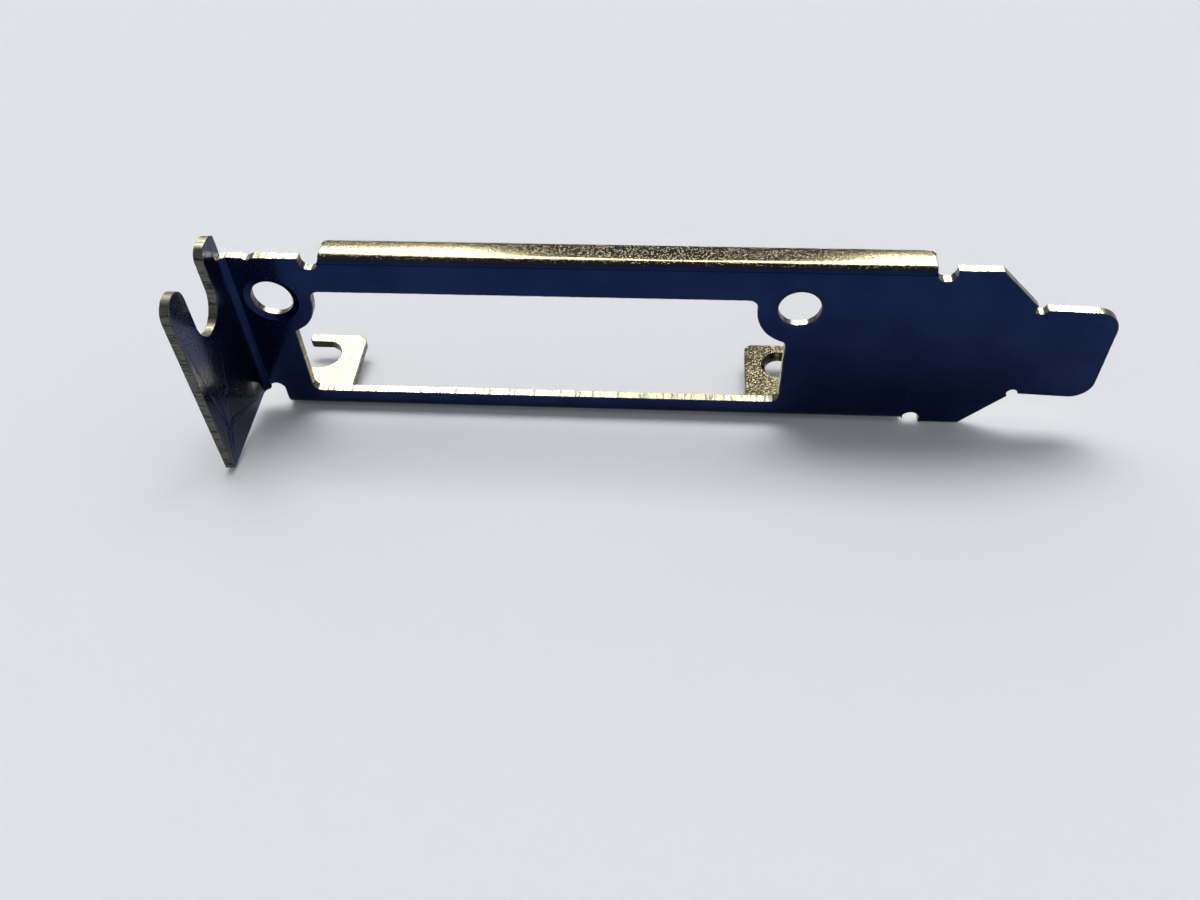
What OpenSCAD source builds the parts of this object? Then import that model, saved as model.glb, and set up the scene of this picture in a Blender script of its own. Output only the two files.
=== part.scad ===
// Low-profile expansion slot bracket with a connector window.
// One piece of folded sheet metal. It stands on its long lower edge:
// X runs along the blade from the chassis tab to the tongue, Y points from the
// outer face of the blade towards the circuit board, and Z is up.

/* [Sheet] */
// Thickness of the sheet
sheet = 0.86; // [0.6:0.02:1.2]
// Inside radius of the long-edge bends
bend_in = 0.15; // [0.1:0.05:0.6]
// Inside radius of the fold between the blade and the chassis tab
fold_in = 0.75; // [0.3:0.05:1.2]

/* [Blade] */
// Length from the outer face of the chassis tab to the tip of the tongue
length = 79.2; // [76:0.1:95]
// Width of the blade, from its lower to its upper long edge
blade_w = 18.42; // [17.8:0.02:21]

/* [Tongue] */
// Length of the tongue from its set line to its tip
tongue_len = 6.9; // [5:0.1:8.5]
// Width of the tongue
tongue_w = 10.19; // [8:0.01:11.5]
// Radius of the two corners at the tip
tongue_r = 2; // [0.6:0.1:3]
// Angle by which the tongue is set outwards from the blade
tongue_set = 2.8; // [0:0.1:6]
// Radius of the relief cuts at the two ends of the set line
set_relief_r = 0.48; // [0.2:0.02:0.7]

/* [Chassis tab] */
// Reach of the tab, measured from the inner face of the blade
tab_reach = 11.43; // [10.6:0.01:13]
// Height of the outer prong above the upper edge of the blade
tab_rise = 3.17; // [2.5:0.01:5]
// Height by which the inner prong ends below the outer one
prong_step = 0.7; // [0:0.05:1.5]
// Height of the tab's lower edge above the lower edge of the blade
tab_low = 2.2; // [1.6:0.05:4]
// Radius of the tab's lower outer corner
tab_corner_r = 0.4; // [0.1:0.05:1.5]
// Width of the screw slot
slot_w = 4.7; // [4:0.05:5.2]
// Depth of the screw slot below the top of the outer prong
slot_depth = 7.1; // [5:0.05:9]
// Distance of the slot's middle from the outer face of the blade
slot_off = 4.9; // [4.5:0.05:5.3]
// Radius of the inner prong's two top corners
prong_r = 1.2; // [0.3:0.05:1.4]
// Distance by which the inner prong runs past the outer face of the blade
prong_back = 0.6; // [0:0.05:0.6]
// Radius of the arch between the tab and the lower corner of the blade
arch_r = 0.75; // [0.5:0.05:0.9]
// Diameter of the punch mark on the inside of the tab
mark_d = 1.3; // [0.6:0.1:2]
// Depth of the punch mark
mark_depth = 0.25; // [0.1:0.05:0.4]
// Distance of the punch mark from the tab's free edge
mark_edge = 2.4; // [1.5:0.1:4]
// Height of the punch mark above the tab's lower edge
mark_up = 3.6; // [1.5:0.1:6]

/* [Window] */
// Distance from the middle of the first screw hole to the window's side
window_near = 1.35; // [0.8:0.05:2.4]
// Distance from the window's other side to the middle of the second screw hole
window_far = 0.95; // [0.6:0.05:2.4]
// Height of the window's lower edge
window_low = 2.2; // [1.9:0.05:3]
// Height of the window
window_h = 12.45; // [11:0.05:12.8]
// Radius of the window's corners
window_r = 0.8; // [0.3:0.05:1.2]

/* [Connector screws] */
// Distance from the tab's outer face to the first screw hole
screw_x = 4.4; // [4:0.05:4.8]
// Distance between the two screw holes
screw_pitch = 47.4; // [44:0.1:50]
// Height of the screw holes
screw_up = 13.7; // [13:0.05:14.2]
// Diameter of the screw holes
screw_d = 3.7; // [2.6:0.05:3.8]
// Diameter of the sunk ring around each screw hole
ring_d = 5; // [4.2:0.1:5.4]
// Depth of the sunk ring
ring_depth = 0.2; // [0.05:0.05:0.4]
// Radius of the ear of sheet around each screw hole
ear_r = 3.72; // [3.3:0.02:3.9]
// Distance of the ear's middle below the screw hole
ear_drop = 0.3; // [0:0.05:0.6]
// Radius where an ear meets the side of the window
ear_fillet = 0.4; // [0.15:0.05:0.6]

/* [Upper flange] */
// Distance from the tab's outer face to the upper flange
flange_x = 9.55; // [9:0.05:11]
// Distance from the end of the upper flange to the shoulder of the blade
flange_clear = 5.35; // [4:0.05:9]
// Depth of the upper flange, measured from the outer face of the blade
flange_depth = 2.9; // [2.4:0.05:6]
// Radius of the upper flange's free corners
flange_r = 0.9; // [0.3:0.05:1]
// Radius of the relief cuts at the ends of the bends
relief_r = 0.8; // [0.5:0.05:0.9]
// Depth of the relief cuts below the edge of the blade
relief_depth = 1.2; // [1:0.05:1.6]

/* [Lower flange] */
// Distance from the tab's outer face to the lower flange
lower_x = 2.75; // [2.6:0.05:3]
// Depth of the lower flange, measured from the outer face of the blade
lower_depth = 2; // [1.9:0.05:2.2]

/* [Board tabs] */
// Depth of the two board tabs, measured from the outer face of the blade
board_depth = 9.4; // [8.9:0.05:12]
// Distance from the tab's outer face to the end of the board slot
board_x = 4.6; // [4.4:0.05:4.9]
// Distance from the middle of the slot's round end to the board hole
board_pitch = 46.9; // [44:0.05:50]
// Distance of the board slot and hole from the outer face of the blade
board_off = 6.5; // [6.2:0.05:6.6]
// Width of the board slot
board_slot_w = 3.86; // [3:0.02:4]
// Length of the slotted tab past the middle of the slot's round end
slotted_end = 4.2; // [3:0.05:5]
// Width of the tab with the board hole
holed_w = 7; // [6:0.1:9]
// Diameter of the board hole
hole_d = 2.8; // [2.2:0.1:3.2]
// Diameter of the board hole's mouth
mouth_d = 3.74; // [3.4:0.02:4.4]
// Depth of the board hole's mouth
mouth_depth = 0.4; // [0.1:0.05:0.5]
// Radius of the board tabs' free corners
board_r = 0.9; // [0.3:0.05:1.2]
// Radius of the tips of the slotted tab's two arms
arm_r = 0.45; // [0.1:0.05:0.45]

/* [Hidden] */
$fn = 96;
// Overrun of a cut past the face that it goes through
over = 1;
// Length by which a bend laps the flat sheet on both sides of it
lap = sheet / 4;
bend_out = bend_in + sheet;
fold_out = fold_in + sheet;
set_x = length - tongue_len;
shoulder = (blade_w - tongue_w) / 2;
flange_end = set_x - shoulder - flange_clear;
tab_top = blade_w + tab_rise;
tab_front = sheet - tab_reach;
slot_y = -slot_off;
outer_prong_w = slot_y - slot_w / 2 - tab_front;
inner_prong_top = tab_top - prong_step;
slot_floor = tab_top - slot_depth;
window_top = window_low + window_h;
window_x = screw_x + window_near;
window_end = screw_x + screw_pitch - window_far;
holed_x = board_x + board_pitch;
tongue_flat = (length - set_x - sheet / 2 * sin(tongue_set)) / cos(tongue_set);
// Middle of the part's footprint, which is the part's origin
middle = [length / 2, (board_depth + tab_front) / 2, 0];

// A rectangle from one corner to the opposite one
module box2(low, high) {
    translate(low) square(high - low);
}

// A rectangle with a radius of its own at each corner,
// counted from the lower left one and clockwise
module rounded2(low, high, radii) {
    places = [low, [low.x, high.y], high, [high.x, low.y]];
    inward = [[1, 1], [1, -1], [-1, -1], [-1, 1]];
    difference() {
        box2(low, high);
        for (i = [0:3])
            if (radii[i] > 0)
                translate(places[i])
                    scale_sign(inward[i])
                        corner2(radii[i]);
    }
}

// Turns a shape of the first quadrant into the quadrant of the given signs
module scale_sign(signs) {
    mirror([signs.x < 0 ? 1 : 0, 0])
        mirror([0, signs.y < 0 ? 1 : 0])
            children();
}

// What a radius takes off a corner at the origin, in the first quadrant
module corner2(radius) {
    difference() {
        box2([-over, -over], [radius, radius]);
        translate([radius, radius]) circle(radius);
        box2([-2 * over, radius], [0, radius + over]);
    }
}

// Section of a right-angled bend: a quarter ring in the first quadrant,
// with a straight leg at each end that laps the flat sheet beside the bend
module bend2(inside) {
    outside = inside + sheet;
    difference() {
        union() {
            intersection() {
                circle(outside);
                square(outside);
            }
            box2([inside, -lap], [outside, 0]);
            box2([-lap, inside], [0, outside]);
        }
        circle(inside);
    }
}

// Sketches drawn in XZ and given a thickness along +Y
module across_y(thick, from = 0) {
    translate([0, from + thick, 0])
        rotate([90, 0, 0])
            linear_extrude(thick) children();
}

// Sketches drawn in YZ and given a length along +X
module along_x(long, from = 0) {
    translate([from, 0, 0])
        rotate([90, 0, 90])
            linear_extrude(long) children();
}

// A drill along Y through the blade
module drill_y(x, z, radius) {
    translate([x, -over, z])
        rotate([-90, 0, 0])
            cylinder(r = radius, h = sheet + 2 * over);
}

// The flat of the blade, from the fold to the set line of the tongue
module blade_outline() {
    difference() {
        polygon([
            [fold_out, 0],
            [set_x - shoulder, 0],
            [set_x, shoulder],
            [set_x, blade_w - shoulder],
            [set_x - shoulder, blade_w],
            [fold_out, blade_w],
        ]);
        box2([flange_x, blade_w - bend_out], [flange_end, blade_w + over]);
        box2([lower_x, -over], [flange_end, bend_out]);
    }
}

// The opening between one ear and the side of the window.
// The ear stands at the origin, and the window's side is at a given distance.
module ear_gap(side, inner, low) {
    rise = sqrt(pow(ear_r + ear_fillet, 2) - pow(side + ear_fillet, 2));
    middle_x = side + ear_fillet;
    touch = ear_r / (ear_r + ear_fillet);
    difference() {
        box2([side, low], [inner, 0]);
        circle(ear_r);
        polygon([
            [side - over, -rise],
            [side - over, -rise + 2 * over],
            [middle_x * touch, -rise * touch + over],
            [middle_x * touch, -rise * touch],
            [side, -rise],
        ]);
    }
    translate([middle_x, -rise]) circle(ear_fillet);
}

// The whole window, with an ear reaching into each of its upper corners
module window_outline() {
    ear_z = screw_up - ear_drop;
    low = window_low + window_r;
    left = screw_x;
    right = screw_x + screw_pitch;
    rounded2([left + ear_r, window_low], [right - ear_r, window_top],
        [0, window_r, window_r, 0]);
    rounded2([window_x, window_low], [window_end, ear_z - ear_r],
        [window_r, 0, 0, window_r]);
    translate([left, ear_z])
        ear_gap(window_x - left, ear_r + over, -ear_r - over);
    translate([right, ear_z])
        mirror([1, 0])
            ear_gap(right - window_end, ear_r + over, -ear_r - over);
}

// The chassis tab's plate, with its screw slot open at the top
module tab_outline() {
    half = slot_w / 2;
    outer_r = outer_prong_w / 2;
    difference() {
        union() {
            rounded2([tab_front, tab_low], [slot_y - half, tab_top],
                [tab_corner_r, outer_r, outer_r, 0]);
            box2([slot_y - half - over, tab_low], [-fold_in, slot_floor + half]);
            box2([slot_y + half, tab_low], [-fold_in, blade_w]);
            rounded2([slot_y + half, slot_floor], [prong_back, inner_prong_top],
                [0, prong_r, prong_r, 0]);
        }
        translate([slot_y, slot_floor + half]) circle(half);
        box2([slot_y - half, slot_floor + half], [slot_y + half, tab_top + over]);
        box2([-fold_in, -over], [prong_back + over, blade_w]);
    }
}

// The quarter turn of sheet between the tab and the blade
module fold() {
    translate([fold_out, -fold_in, tab_low])
        linear_extrude(blade_w - tab_low)
            rotate(90) bend2(fold_in);
}

// The cut that frees the tab's lower edge from the blade
module fold_relief() {
    translate([0, -fold_out, 0])
        across_y(fold_out + sheet + over) {
            box2([-over, -over], [lower_x, tab_low]);
            translate([lower_x - arch_r, tab_low]) circle(arch_r);
        }
}

// The tongue, set outwards about the middle of the sheet
module tongue() {
    low = shoulder;
    high = blade_w - shoulder;
    translate([set_x, sheet / 2, 0]) {
        rotate([0, 0, -tongue_set])
            across_y(sheet, -sheet / 2)
                rounded2([0, low], [tongue_flat, high],
                    [0, 0, tongue_r, tongue_r]);
        translate([0, 0, low]) cylinder(d = sheet, h = high - low);
    }
}

// The upper flange and its bend
module upper_flange() {
    along_x(flange_end - flange_x, flange_x)
        translate([bend_out, blade_w - bend_out])
            rotate(90) bend2(bend_in);
    translate([0, 0, blade_w - sheet])
        linear_extrude(sheet)
            rounded2([flange_x, bend_out], [flange_end, flange_depth],
                [0, flange_r, flange_r, 0]);
}

// The lower flange and its bend, with the two board tabs as longer parts of it
module lower_flange() {
    along_x(flange_end - lower_x, lower_x)
        translate([bend_out, bend_out])
            rotate(180) bend2(bend_in);
    linear_extrude(sheet) {
        box2([lower_x, bend_out], [flange_end, lower_depth]);
        slotted_tab();
        holed_tab();
    }
}

module slotted_tab() {
    half = board_slot_w / 2;
    near = board_off - half;
    far = board_off + half;
    difference() {
        rounded2([lower_x, bend_out], [board_x + slotted_end, board_depth],
            [0, arm_r, board_r, 0]);
        translate([board_x, board_off]) circle(half);
        box2([lower_x - over, near], [board_x, far]);
        translate([lower_x, near]) mirror([0, 1]) corner2(arm_r);
        translate([lower_x, far]) corner2(arm_r);
    }
}

module holed_tab() {
    rounded2([holed_x - holed_w / 2, bend_out], [holed_x + holed_w / 2, board_depth],
        [0, board_r, board_r, 0]);
}

// The relief cuts at the ends of the long-edge bends
module bend_reliefs() {
    inset = relief_depth - relief_r;
    for (end = [[flange_x - relief_r, 1], [flange_end + relief_r, 1],
                [flange_end + relief_r, 0]]) {
        edge = end[1] * blade_w;
        into = 1 - 2 * end[1];
        across_y(sheet + 2 * over, -over) {
            translate([end[0], edge + into * inset]) circle(relief_r);
            box2([end[0] - relief_r, min(edge - into * over, edge + into * inset)],
                [end[0] + relief_r, max(edge - into * over, edge + into * inset)]);
        }
    }
}

// The connector screw holes, each in its sunk ring
module screw_holes() {
    for (x = [screw_x, screw_x + screw_pitch]) {
        drill_y(x, screw_up, screw_d / 2);
        translate([x, 0, screw_up])
            rotate([-90, 0, 0])
                cylinder(d1 = ring_d, d2 = screw_d, h = ring_depth);
    }
}

// The board hole, with a sunk mouth on the side where the board lies
module board_hole() {
    translate([holed_x, board_off, 0]) {
        translate([0, 0, -over]) cylinder(d = hole_d, h = sheet + 2 * over);
        translate([0, 0, sheet - mouth_depth])
            cylinder(d1 = hole_d, d2 = mouth_d, h = mouth_depth);
    }
}

// The shallow round punch mark on the inside of the tab
module punch_mark() {
    ball_r = (pow(mark_d / 2, 2) + pow(mark_depth, 2)) / (2 * mark_depth);
    translate([sheet + ball_r - mark_depth, tab_front + mark_edge, tab_low + mark_up])
        sphere(ball_r);
}

module bracket() {
    color("dimgray")
        translate(-middle)
            difference() {
                union() {
                    across_y(sheet)
                        difference() {
                            blade_outline();
                            window_outline();
                        }
                    along_x(sheet) tab_outline();
                    fold();
                    tongue();
                    upper_flange();
                    lower_flange();
                }
                fold_relief();
                bend_reliefs();
                screw_holes();
                board_hole();
                punch_mark();
                for (z = [shoulder, blade_w - shoulder])
                    drill_y(set_x, z, set_relief_r);
            }
}

bracket();
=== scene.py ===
"""Dresses the low-profile slot bracket: its sheet gets worn shearing on the cut edges,
rolled-over rims and a dark bright plating, whose navy is a painted reflection of a blue
surround and whose darkness is partly painted shade, and it lies on a plain pale floor."""
from math import cos, pi, radians, sin, tan

import bmesh
import bpy
from mathutils import Matrix, Vector, noise
from mathutils.bvhtree import BVHTree


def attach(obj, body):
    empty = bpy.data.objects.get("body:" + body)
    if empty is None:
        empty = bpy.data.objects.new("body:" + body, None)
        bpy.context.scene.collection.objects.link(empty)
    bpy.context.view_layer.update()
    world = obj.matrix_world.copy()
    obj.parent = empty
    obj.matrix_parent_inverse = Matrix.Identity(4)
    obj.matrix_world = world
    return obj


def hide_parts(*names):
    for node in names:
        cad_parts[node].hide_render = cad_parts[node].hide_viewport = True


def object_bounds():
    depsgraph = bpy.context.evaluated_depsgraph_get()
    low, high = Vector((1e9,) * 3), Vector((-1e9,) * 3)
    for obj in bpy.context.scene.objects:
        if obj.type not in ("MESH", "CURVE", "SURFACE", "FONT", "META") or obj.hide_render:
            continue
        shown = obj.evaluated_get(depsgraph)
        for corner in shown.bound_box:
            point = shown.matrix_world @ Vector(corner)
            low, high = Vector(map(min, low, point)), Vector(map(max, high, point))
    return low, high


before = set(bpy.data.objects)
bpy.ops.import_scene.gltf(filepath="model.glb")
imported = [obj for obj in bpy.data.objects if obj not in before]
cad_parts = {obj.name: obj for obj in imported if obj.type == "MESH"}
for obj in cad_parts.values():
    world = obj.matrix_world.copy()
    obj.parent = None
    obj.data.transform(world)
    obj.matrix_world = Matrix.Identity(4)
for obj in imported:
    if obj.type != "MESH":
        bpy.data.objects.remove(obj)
cad_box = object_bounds()

MM = 0.001

# Corners nearer to each other than this are one corner
MERGE = 0.0005 * MM

# The folded sheet, in the row frame
SHEET = 0.86 * MM
TAB_OUTER_X = cad_box[0].x
BLADE_FRONT_Y = 0.585 * MM
BLADE_W = 18.42 * MM
LONG_BEND = 0.15 * MM
TAB_FOLD = 0.75 * MM
BEND_STRIPS = 14
# How near to a bend's arc a corner lies that belongs on it
NEAR_ARC = 0.03 * MM

# The sheared edges: their rolled-over rims, how far the shears strayed, and how often
RIM = 0.08 * MM
RIM_SINK = 0.05 * MM
STRAY = 0.045 * MM
STRAY_EVERY = 0.22 * MM
STRAYS_PER_METRE = 2.4 / MM
# A nick in the upper edge of the blade, beside the chassis tab
NICK_X = TAB_OUTER_X + 3.3 * MM
NICK_REACH = 0.44 * MM
NICK_DEPTH = 0.28 * MM

# The upper flange droops a little, from where its flat begins to its free edge
FLANGE_FLAT_Y = BLADE_FRONT_Y + LONG_BEND + SHEET
FLANGE_REACH = 1.89 * MM
FLANGE_DROOP = 0.023 / MM
FLANGE_BELOW = BLADE_W - 1.2 * SHEET
DROOP_ROWS = 8

# How the bracket leans when it is put down: the floor's height at the middle
# of the part, and its rise towards +X and +Y
FLOOR_AT = -0.04 * MM
FLOOR_RISE = (-0.0027, -0.192)
FLOOR_RADIUS = 4.0
FLOOR_SHADE = (0.74, 0.75, 0.77)
HORIZON = (0.74, 0.75, 0.78)
OVERHEAD = (0.34, 0.35, 0.38)

CARD_DISTANCE = 2.0
CARD_COLOUR = (1, 0.93, 0.66)
SUN_WIDTH = radians(32)


# ---------------------------------------------------------------- shader maths

class Field:
    """A value that varies over a surface, so that shader maths reads as plain sums."""

    def __init__(self, finish, socket):
        self.finish = finish
        self.socket = socket

    def worked(self, operation, *values):
        inputs = dict(enumerate(values))
        return self.finish.node("ShaderNodeMath", {"operation": operation}, inputs)

    def __add__(self, other):
        return self.worked("ADD", self, other)

    def __radd__(self, other):
        return self.worked("ADD", other, self)

    def __rsub__(self, other):
        return self.worked("SUBTRACT", other, self)

    def __mul__(self, other):
        return self.worked("MULTIPLY", self, other)

    def __rmul__(self, other):
        return self.worked("MULTIPLY", other, self)

    def __gt__(self, other):
        return self.worked("GREATER_THAN", self, other)

    def __lt__(self, other):
        return self.worked("LESS_THAN", self, other)

    def ramp(self, low, high):
        """0 at low, 1 at high, and an easy curve in between."""
        settings = {"interpolation_type": "SMOOTHSTEP"}
        inputs = {"Value": self, "From Min": low, "From Max": high}
        return self.finish.node("ShaderNodeMapRange", settings, inputs)


class Finish:
    """One material, whose nodes all come from node()."""

    def __init__(self, name):
        self.material = bpy.data.materials.new(name)
        self.material.use_nodes = True
        self.tree = self.material.node_tree
        self.shader = self.tree.nodes["Principled BSDF"]
        self.place = self.node("ShaderNodeTexCoord", out="Object")

    def node(self, kind, settings=None, inputs=None, out=0):
        made = self.tree.nodes.new(kind)
        for name, value in (settings or {}).items():
            setattr(made, name, value)
        for name, value in (inputs or {}).items():
            self.feed(made.inputs[name], value)
        return Field(self, made.outputs[out])

    def feed(self, socket, value):
        if isinstance(value, Field):
            self.tree.links.new(value.socket, socket)
        else:
            socket.default_value = value

    def set(self, **values):
        for name, value in values.items():
            self.feed(self.shader.inputs[name.replace("_", " ")], value)

    def axes(self):
        """The place's own X, Y and Z."""
        split = self.node("ShaderNodeSeparateXYZ", inputs={"Vector": self.place})
        outputs = split.socket.node.outputs
        return [Field(self, socket) for socket in outputs]

    def grain(self, scale, detail=2.0, stretch=(1, 1, 1)):
        """Noise about 1/scale metres fine, drawn out along an axis where stretch is small."""
        settings = {"operation": "MULTIPLY"}
        inputs = {0: self.place, 1: tuple(scale * k for k in stretch)}
        spot = self.node("ShaderNodeVectorMath", settings, inputs)
        inputs = {"Vector": spot, "Scale": 1.0, "Detail": detail}
        return self.node("ShaderNodeTexNoise", inputs=inputs)

    def blend(self, amount, first, second):
        """The first colour where amount is 0, and the second where it is 1."""
        made = self.node("ShaderNodeMix", {"data_type": "RGBA"}, {"Factor": amount})
        mix = made.socket.node
        sockets = [s for s in mix.inputs if s.type == "RGBA"]
        self.feed(sockets[0], first)
        self.feed(sockets[1], second)
        return Field(self, [s for s in mix.outputs if s.type == "RGBA"][0])

    def relief(self, height, depth):
        """Bumps as deep as depth, in metres."""
        inputs = {"Height": height, "Strength": 1.0, "Distance": depth}
        self.set(Normal=self.node("ShaderNodeBump", inputs=inputs))


def colour(red, green, painted_blue_reflection):
    """A colour with the alpha that sockets ask for."""
    return (red, green, painted_blue_reflection, 1.0)


# ------------------------------------------------------------------- finishes

def plate_with_painted_reflection():
    """Dark, bright nickel over rolled sheet: almost a mirror, with a fine orange peel. Its
    darkness is partly painted shade, and the navy on the face of the blade and the chassis
    tab is a painted reflection of a blue surround; what is bent back from the face is
    straw-coloured."""
    finish = Finish("plate_with_painted_reflection")
    cloud = finish.grain(180, detail=3)
    peel = finish.grain(2600, detail=2)
    pits = finish.grain(6500, detail=1).ramp(0.56, 0.72)
    # Painted reflection: the navy of a blue surround, laid into the base colour of the face
    # and the tab
    painted_blue_reflection = finish.blend(cloud.ramp(0.35, 0.65), colour(0.008, 0.017, 0.062),
                        colour(0.011, 0.022, 0.074))
    # What lies behind the face takes the straw tone, without the painted navy
    behind = finish.axes()[1].ramp(BLADE_FRONT_Y + 0.05 * MM, BLADE_FRONT_Y + 0.5 * MM)
    tone = finish.blend(behind, painted_blue_reflection, colour(0.034, 0.031, 0.026))
    finish.set(Base_Color=tone, Metallic=1.0, Roughness=0.10 + 0.06 * cloud)
    finish.relief(0.3 * peel + 0.7 * pits, 0.014 * MM)
    return finish.material


def sheared_edge():
    """Cut metal under the same plating, scored across the thickness of the sheet."""
    finish = Finish("sheared_edge")
    x, y = finish.axes()[:2]
    on_tab = x < TAB_OUTER_X + 1.2 * MM
    on_flange = y > BLADE_FRONT_Y + 1.1 * MM
    fine, drawn_out = 4200, 0.12
    across_blade = finish.grain(fine, stretch=(1, drawn_out, 1))
    across_tab = finish.grain(fine, stretch=(drawn_out, 1, 1))
    across_flange = finish.grain(fine, stretch=(1, 1, drawn_out))
    scores = across_blade * (1 - on_tab) * (1 - on_flange)
    scores = scores + across_tab * on_tab * (1 - on_flange) + across_flange * on_flange
    nicks = finish.grain(7000, detail=1)
    bright = (0.75 * scores + 0.25 * nicks).ramp(0.36, 0.56)
    tone = finish.blend(bright, colour(0.020, 0.020, 0.022),
                        colour(0.110, 0.106, 0.094))
    finish.set(Base_Color=tone, Metallic=1.0, Roughness=0.36 - 0.12 * bright)
    finish.relief(scores, 0.012 * MM)
    return finish.material


def rubbed_rim():
    """The rims of the cuts, where handling has burnished the plating."""
    finish = Finish("rubbed_rim")
    wear = finish.grain(900, detail=2).ramp(0.35, 0.65)
    tone = finish.blend(wear, colour(0.030, 0.033, 0.045), colour(0.095, 0.090, 0.082))
    finish.set(Base_Color=tone, Metallic=1.0, Roughness=0.26 - 0.08 * wear)
    return finish.material


# ---------------------------------------------------------------- the bracket

SKIN, CUT, RUBBED = range(3)
# The shading runs over an edge when the faces beside it turn by less than this
SMOOTH_OVER = (radians(12), radians(30), radians(50))
# Where faces meet, those whose direction covers less than this share of the widest one's
# area have no say in the shading
SHARE = 0.25


def parts_of(faces):
    """The faces with their edges and corners, as the bisecting operator wants them."""
    edges = {e: None for f in faces for e in f.edges}
    verts = {v: None for f in faces for v in f.verts}
    return list(faces) + list(edges) + list(verts)


def merged_copy(node):
    """The node's loose triangles, joined at their corners."""
    bm = bmesh.new()
    bm.from_mesh(node.data)
    bmesh.ops.remove_doubles(bm, verts=bm.verts, dist=MERGE)
    bmesh.ops.dissolve_degenerate(bm, edges=bm.edges, dist=0.0002 * MM)
    return bm


def mark_sheared_faces(bm):
    """Tells the faces that the shears cut from the sheet's own two skins, and joins the
    triangles of each flat cut. The skins lie one thickness apart, and behind a cut face
    there is more metal than that."""
    just_inside = 0.01 * MM
    tree = BVHTree.FromBMesh(bm)
    for face in bm.faces:
        inward = -face.normal
        start = face.calc_center_median() + inward * just_inside
        hit = tree.ray_cast(start, inward)
        face.material_index = CUT if hit[3] is None or hit[3] > 1.25 * SHEET else SKIN
    flat = radians(0.6)
    seams = [e for e in bm.edges if len(e.link_faces) == 2
             and all(f.material_index == CUT for f in e.link_faces)
             and e.calc_face_angle(pi) < flat]
    bmesh.ops.dissolve_limit(bm, angle_limit=flat, verts=[], edges=seams)


def round_bend(bm, along, centre, towards, inside):
    """Cuts one right-angled bend into narrow strips and lays them on its true arcs.
    The bend runs along an axis through centre, in the quarter that towards points to."""
    radii = (inside, inside + SHEET)
    axes = [k for k in range(3) if k != along]
    slack = 0.002 * MM

    def within(point):
        return all((point[k] - centre[k]) * towards[k] > -slack for k in axes)

    def gap(point):
        return Vector([0 if k == along else point[k] - centre[k] for k in range(3)])

    for strip in range(1, BEND_STRIPS):
        turn = radians(90 * strip / BEND_STRIPS)
        across = Vector((0, 0, 0))
        across[axes[0]] = towards[axes[0]] * cos(turn)
        across[axes[1]] = -towards[axes[1]] * sin(turn)
        near = [f for f in bm.faces if within(f.calc_center_median())
                and gap(f.calc_center_median()).length < radii[1] + slack]
        bmesh.ops.bisect_plane(bm, geom=parts_of(near), dist=MERGE,
                               plane_co=centre, plane_no=across)
    for vert in bm.verts:
        out = gap(vert.co)
        if within(vert.co) and out.length > 0:
            for radius in radii:
                if abs(out.length - radius) < NEAR_ARC:
                    vert.co += out.normalized() * (radius - out.length)


def round_bends(bm):
    """The upper flange's bend, the lower edge's bend and the fold of the chassis tab."""
    out = LONG_BEND + SHEET
    flange_y, flange_z = BLADE_FRONT_Y + out, BLADE_W - out
    round_bend(bm, 0, Vector((0, flange_y, flange_z)), (0, -1, 1), LONG_BEND)
    round_bend(bm, 0, Vector((0, flange_y, out)), (0, -1, -1), LONG_BEND)
    fold = Vector((TAB_OUTER_X + TAB_FOLD + SHEET, BLADE_FRONT_Y - TAB_FOLD, 0))
    round_bend(bm, 2, fold, (-1, 1, 0), TAB_FOLD)


def droop_flange(bm):
    """Bows the upper flange, which was flat, down towards its free edge."""
    for row in range(DROOP_ROWS):
        flange = [f for f in bm.faces if f.calc_center_median().z > FLANGE_BELOW]
        spot = (0, FLANGE_FLAT_Y + FLANGE_REACH * row / DROOP_ROWS, 0)
        bmesh.ops.bisect_plane(bm, geom=parts_of(flange), dist=0.001 * MM, plane_co=spot,
                               plane_no=(0, 1, 0))
    for vert in bm.verts:
        past = vert.co.y - FLANGE_FLAT_Y
        if past > 0 and vert.co.z > FLANGE_BELOW:
            vert.co.z -= FLANGE_DROOP * past * past


def is_rim(edge):
    """An edge between a skin and a cut face."""
    return {f.material_index for f in edge.link_faces} == {SKIN, CUT}


def fray_rims(bm):
    """Lets the cut line stray a little, as shears and a worn die leave it, and nicks the
    upper edge of the blade."""
    by_cuts = {}
    for edge in filter(is_rim, bm.edges):
        cuts = round(edge.calc_length() / STRAY_EVERY) - 1
        if cuts > 0:
            by_cuts.setdefault(cuts, []).append(edge)
    for cuts in sorted(by_cuts):
        edges = [e for e in by_cuts[cuts] if e.is_valid]
        bmesh.ops.subdivide_edges(bm, edges=edges, cuts=cuts, use_grid_fill=True)
    for vert in bm.verts:
        cut = [f.normal for f in vert.link_faces if f.material_index == CUT]
        if not cut or len(cut) == len(vert.link_faces):
            continue
        out = sum(cut, Vector()).normalized()
        depth = STRAY * (0.5 + 0.5 * noise.noise(vert.co * STRAYS_PER_METRE))
        nick = 1 - abs(vert.co.x - NICK_X) / NICK_REACH
        faces_up = out.z > 0.9
        if faces_up and nick > 0:
            depth += NICK_DEPTH * nick
        vert.co -= out * depth


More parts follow.
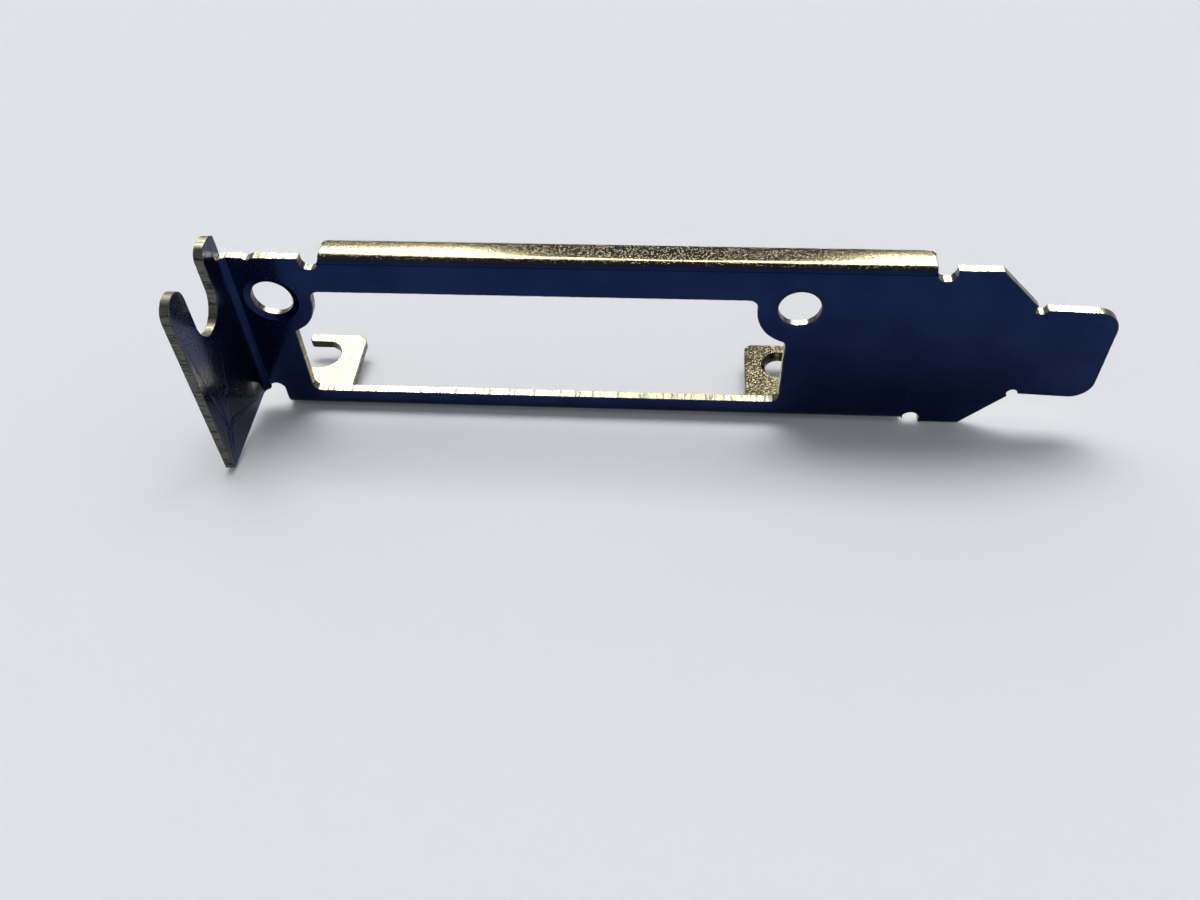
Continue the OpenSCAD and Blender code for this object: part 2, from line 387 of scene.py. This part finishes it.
def roll_over_rims(bm):
    """Sinks the rim of each skin, as shearing does."""
    skins = [f for f in bm.faces if f.material_index == SKIN]
    bm.normal_update()
    made = bmesh.ops.inset_region(bm, faces=skins, thickness=RIM, use_even_offset=False)
    bm.normal_update()
    sinks = {}
    for face in made["faces"]:
        face.material_index = RUBBED
        for vert in face.verts:
            if any(f.material_index == CUT for f in vert.link_faces):
                sinks[vert] = sinks.get(vert, Vector()) + face.normal
    for vert, normal in sinks.items():
        vert.co -= normal.normalized() * RIM_SINK


def keep_inside(bm):
    """Holds every corner inside the box of the CAD part."""
    low, high = cad_box
    for vert in bm.verts:
        for k in range(3):
            vert.co[k] = min(max(vert.co[k], low[k]), high[k])


def even_shading(mesh):
    """Shades the flats as flat and the bends as round, and each kind of face by itself.
    Where a flat and a bend meet, the flat decides."""
    normals = [face.normal.copy() for face in mesh.polygons]
    kinds = [face.material_index for face in mesh.polygons]
    ways = [(kind, *(round(c, 3) for c in n)) for kind, n in zip(kinds, normals)]
    areas, around = {}, {}
    for face in mesh.polygons:
        face.use_smooth = True
        way = ways[face.index]
        areas[way] = areas.get(way, 0) + face.area
        for vert in face.vertices:
            around.setdefault(vert, []).append(face.index)
    corners = [None] * len(mesh.loops)
    for face in mesh.polygons:
        kind, normal = kinds[face.index], normals[face.index]
        limit = cos(SMOOTH_OVER[kind])
        for loop, vert in zip(face.loop_indices, face.vertices):
            near = {ways[i]: normals[i] for i in around[vert]
                    if kinds[i] == kind and normals[i].dot(normal) > limit}
            near[ways[face.index]] = normal
            widest = max(areas[way] for way in near)
            kept = [near[way] for way in near if areas[way] > SHARE * widest]
            corners[loop] = sum(kept, Vector()).normalized()
    mesh.normals_split_custom_set(corners)


def dressed_bracket():
    """The one visible piece, in place of the CAD node."""
    bm = merged_copy(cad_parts["bracket"])
    mark_sheared_faces(bm)
    round_bends(bm)
    droop_flange(bm)
    fray_rims(bm)
    roll_over_rims(bm)
    keep_inside(bm)
    mesh = bpy.data.meshes.new("bracket_sheet")
    bm.to_mesh(mesh)
    bm.free()
    even_shading(mesh)
    for finish in (plate_with_painted_reflection, sheared_edge, rubbed_rim):
        mesh.materials.append(finish())
    piece = bpy.data.objects.new("bracket_sheet", mesh)
    bpy.context.scene.collection.objects.link(piece)
    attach(piece, "root")
    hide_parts("bracket")


# ------------------------------------------------------------------ the stage

def pale_floor_finish():
    finish = Finish("pale_floor")
    finish.set(Base_Color=colour(*FLOOR_SHADE), Roughness=0.9, Specular_IOR_Level=0.0)
    # From below, as a low view has it, the sloping floor isn't in the way
    clear = finish.node("ShaderNodeBsdfTransparent")
    below = finish.node("ShaderNodeNewGeometry", out="Backfacing")
    inputs = {0: below, 1: Field(finish, finish.shader.outputs[0]), 2: clear}
    seen = finish.node("ShaderNodeMixShader", inputs=inputs)
    output = finish.tree.nodes["Material Output"]
    finish.tree.links.new(seen.socket, output.inputs["Surface"])
    return finish.material


def floor():
    """A wide disc, tilted to the plane that the bracket rests on."""
    bm = bmesh.new()
    bmesh.ops.create_circle(bm, cap_ends=True, segments=96, radius=FLOOR_RADIUS)
    for vert in bm.verts:
        rise = FLOOR_RISE[0] * vert.co.x + FLOOR_RISE[1] * vert.co.y
        vert.co.z = FLOOR_AT + rise
    mesh = bpy.data.meshes.new("floor")
    bm.to_mesh(mesh)
    bm.free()
    mesh.materials.append(pale_floor_finish())
    made = bpy.data.objects.new("floor", mesh)
    bpy.context.scene.collection.objects.link(made)


def direction(azimuth, elevation):
    """Both angles in degrees. Azimuth 0 is +Y, and 90 is +X."""
    a, e = radians(azimuth), radians(elevation)
    return Vector((sin(a) * cos(e), cos(a) * cos(e), sin(e)))


def hang(name, light, towards, distance):
    """Puts a lamp that far out in a direction, shining back at the middle."""
    made = bpy.data.objects.new(name, light)
    made.location = towards * distance
    made.rotation_euler = towards.to_track_quat("Z", "Y").to_euler()
    bpy.context.scene.collection.objects.link(made)
    return made


def glint_card(name, azimuths, elevations, radiance):
    """A warm card far behind the bracket, which only its metal sees. It spans the given
    azimuths and elevations, in degrees."""
    azimuth, elevation = sum(azimuths) / 2, sum(elevations) / 2
    wide = 2 * CARD_DISTANCE * tan(radians(azimuths[1] - azimuths[0]) / 2)
    light = bpy.data.lights.new(name, "AREA")
    light.shape = "RECTANGLE"
    light.size = wide * cos(radians(elevation))
    light.size_y = 2 * CARD_DISTANCE * tan(radians(elevations[1] - elevations[0]) / 2)
    light.energy = radiance * pi * light.size * light.size_y
    light.color = CARD_COLOUR
    made = hang(name, light, direction(azimuth, elevation), CARD_DISTANCE)
    made.visible_diffuse = False


def soft_sun(name, azimuth, elevation, strength):
    """Lights the floor evenly and gives the soft shadow."""
    light = bpy.data.lights.new(name, "SUN")
    light.energy = strength
    light.angle = SUN_WIDTH
    made = hang(name, light, direction(azimuth, elevation), 1.0)
    made.visible_glossy = False


def studio():
    """Pale at the horizon, like the floor, and dimmer overhead."""
    world = bpy.data.worlds.new("studio")
    world.use_nodes = True
    nodes, links = world.node_tree.nodes, world.node_tree.links
    place = nodes.new("ShaderNodeTexCoord")
    split = nodes.new("ShaderNodeSeparateXYZ")
    ramp = nodes.new("ShaderNodeValToRGB")
    links.new(place.outputs["Generated"], split.inputs[0])
    links.new(split.outputs["Z"], ramp.inputs["Fac"])
    links.new(ramp.outputs["Color"], nodes["Background"].inputs["Color"])
    ramp.color_ramp.elements[0].position = 0.12
    ramp.color_ramp.elements[0].color = colour(*HORIZON)
    ramp.color_ramp.elements[1].position = 0.75
    ramp.color_ramp.elements[1].color = colour(*OVERHEAD)
    bpy.context.scene.world = world


def lights():
    glint_card("left_glint_card", (-32, -9), (33, 75), 62)
    glint_card("right_glint_card", (8.5, 35), (33, 75), 70)
    soft_sun("left_sun", -25, 60, 0.95)
    soft_sun("right_sun", 22, 62, 0.95)
    studio()


def camera():
    """Looks down on the front of the blade, a little from the right."""
    yaw, pitch, roll = radians(5.82), radians(48.48), radians(-2.65)
    level_right = Vector((cos(yaw), sin(yaw), 0))
    level_ahead = Vector((-sin(yaw), cos(yaw), 0))
    ahead = cos(pitch) * level_ahead - sin(pitch) * Vector((0, 0, 1))
    level_up = sin(pitch) * level_ahead + cos(pitch) * Vector((0, 0, 1))
    right = cos(roll) * level_right + sin(roll) * level_up
    up = cos(roll) * level_up - sin(roll) * level_right
    data = bpy.data.cameras.new("camera")
    data.sensor_width = 36
    data.lens = 31.97
    data.clip_start = 1 * MM
    made = bpy.data.objects.new("camera", data)
    turn = Matrix((right, up, -ahead)).transposed()
    spot = Vector((1.35, -71.17, 75.96)) * MM
    made.matrix_world = Matrix.Translation(spot) @ turn.to_4x4()
    bpy.context.scene.collection.objects.link(made)
    bpy.context.scene.camera = made


camera()
lights()
floor()
dressed_bracket()
bpy.context.scene.view_settings.view_transform = "Standard"
